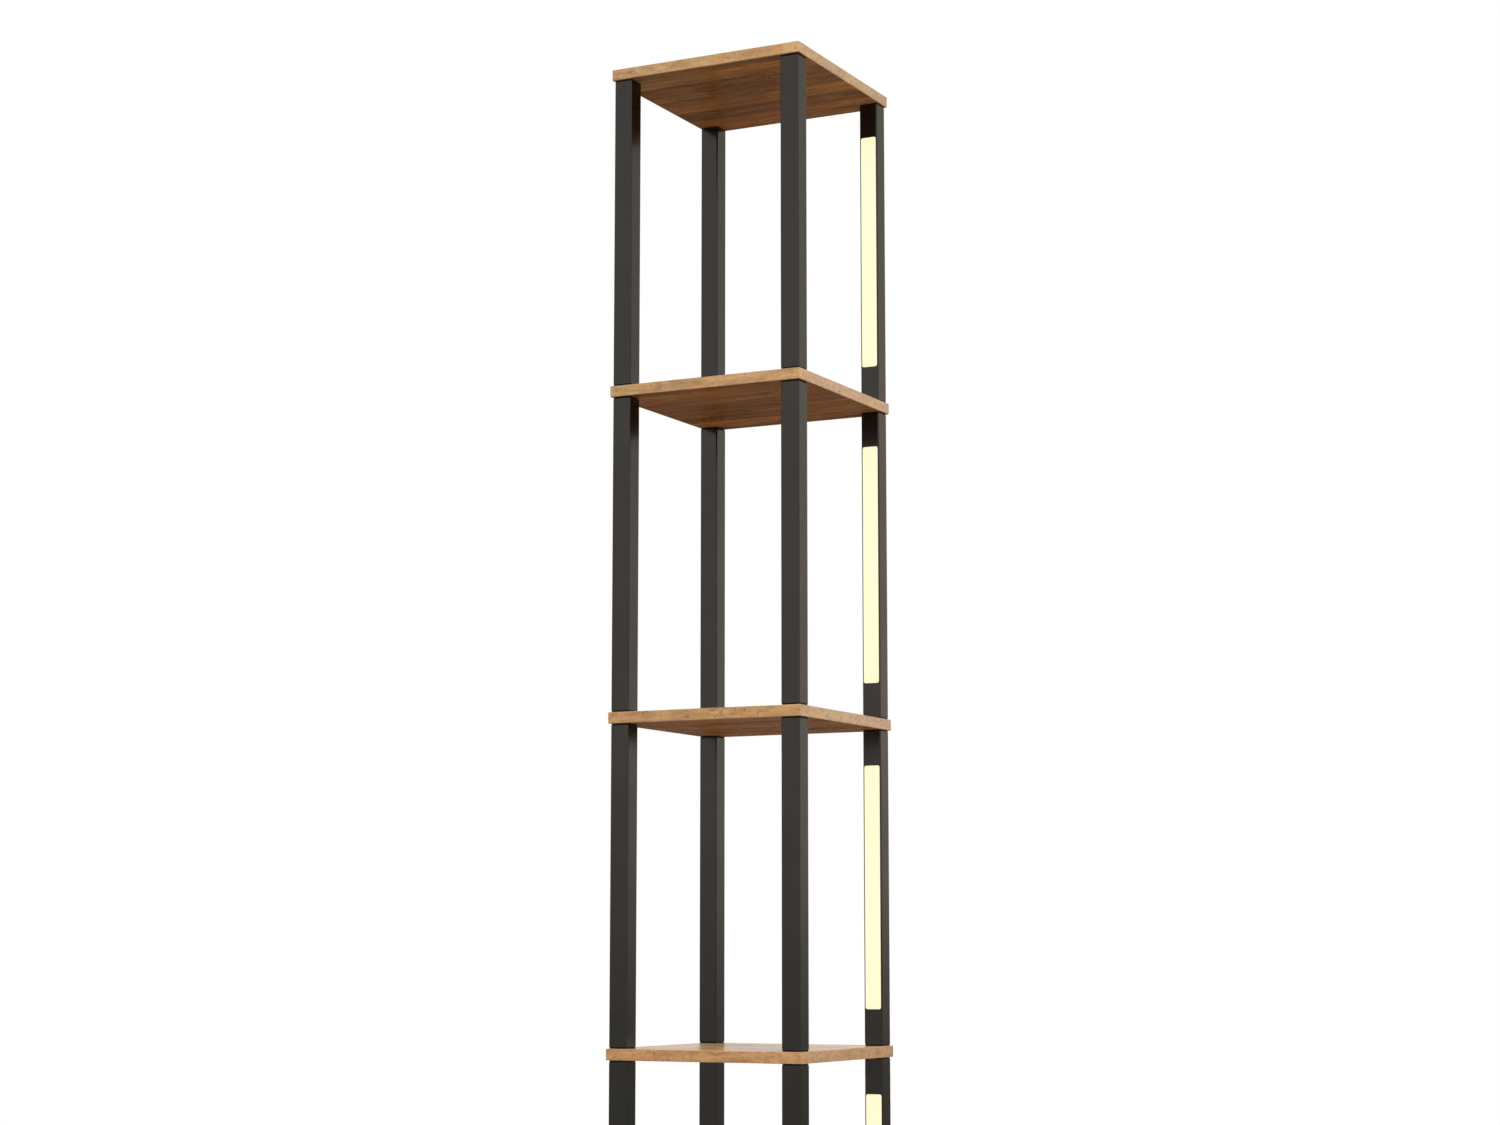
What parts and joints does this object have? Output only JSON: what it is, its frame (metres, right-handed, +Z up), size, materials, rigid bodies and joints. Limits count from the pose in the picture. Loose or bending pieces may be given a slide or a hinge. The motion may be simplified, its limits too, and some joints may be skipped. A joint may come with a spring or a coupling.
{
  "type": "lighted shelving unit",
  "caption": "Tall narrow open shelving tower with square oak boards, dark square-tube posts and one corner post lit from inside by warm panels.",
  "frame": {"origin": "on the floor, under the middle of the square boards", "axes": "+Z up, +X to the right along the front edge, +Y to the back; the lit post is at +X, +Y and its panels face -Y"},
  "size_m": [0.3, 0.3, 1.89],
  "materials": {
    "oak_board": "satin oak-grain board with plank joints running along the front edge",
    "graphite_steel": "satin graphite powder coat",
    "blackened_steel": "black-oxide steel",
    "plated_steel": "zinc-plated steel",
    "insert_brass": "turned brass",
    "milky_acrylic": "milky satin acrylic, lit warm white from behind",
    "channel_aluminium": "mill-finish aluminium",
    "strip_white": "white circuit board with light chips",
    "lead_sheath": "black flexible sheath",
    "inlet_plastic": "black moulded plastic",
    "foot_nylon": "black moulded nylon"
  },
  "bodies": {
    "tower": {"bottom_shelf": "oak_board", "diffuser_1": "milky_acrylic", "diffuser_2": "milky_acrylic", "diffuser_3": "milky_acrylic", "diffuser_4": "milky_acrylic", "feed_lead": "lead_sheath", "foot_lock_nuts": "plated_steel", "inlet_nut": "plated_steel", "jumper_lead_1": "lead_sheath", "jumper_lead_2": "lead_sheath", "jumper_lead_3": "lead_sheath", "light_channel_1": "channel_aluminium", "light_channel_2": "channel_aluminium", "light_channel_3": "channel_aluminium", "light_channel_4": "channel_aluminium", "light_post_1": "graphite_steel", "light_post_2": "graphite_steel", "light_post_3": "graphite_steel", "light_post_4": "graphite_steel", "light_socket_plugs": "blackened_steel", "light_strip_1": "strip_white", "light_strip_2": "strip_white", "light_strip_3": "strip_white", "light_strip_4": "strip_white", "light_stud_plugs": "blackened_steel", "post_back_left_1": "graphite_steel", "post_back_left_2": "graphite_steel", "post_back_left_3": "graphite_steel", "post_back_left_4": "graphite_steel", "post_front_left_1": "graphite_steel", "post_front_left_2": "graphite_steel", "post_front_left_3": "graphite_steel", "post_front_left_4": "graphite_steel", "post_front_right_1": "graphite_steel", "post_front_right_2": "graphite_steel", "post_front_right_3": "graphite_steel", "post_front_right_4": "graphite_steel", "power_inlet": "inlet_plastic", "shelf_2": "oak_board", "shelf_3": "oak_board", "shelf_4": "oak_board", "socket_plugs_1": "blackened_steel", "socket_plugs_2": "blackened_steel", "socket_plugs_3": "blackened_steel", "socket_plugs_4": "blackened_steel", "stud_plugs_2": "blackened_steel", "stud_plugs_3": "blackened_steel", "stud_plugs_4": "blackened_steel", "top_shelf": "oak_board", "top_shelf_inserts": "insert_brass", "top_stud_plugs": "blackened_steel"},
    "front_left_foot": {"foot_front_left": "foot_nylon"},
    "front_right_foot": {"foot_front_right": "foot_nylon"},
    "back_left_foot": {"foot_back_left": "foot_nylon"},
    "back_right_foot": {"foot_back_right": "foot_nylon"}
  },
  "joints": [
    {"name": "front_left_foot_screw", "type": "slide", "parent": "tower", "child": "front_left_foot", "axis": [0, 0, 1], "range_m": [-0.01, 0]},
    {"name": "front_right_foot_screw", "type": "slide", "parent": "tower", "child": "front_right_foot", "axis": [0, 0, 1], "range_m": [-0.01, 0]},
    {"name": "back_left_foot_screw", "type": "slide", "parent": "tower", "child": "back_left_foot", "axis": [0, 0, 1], "range_m": [-0.01, 0]},
    {"name": "back_right_foot_screw", "type": "slide", "parent": "tower", "child": "back_right_foot", "axis": [0, 0, 1], "range_m": [-0.01, 0]}
  ]
}
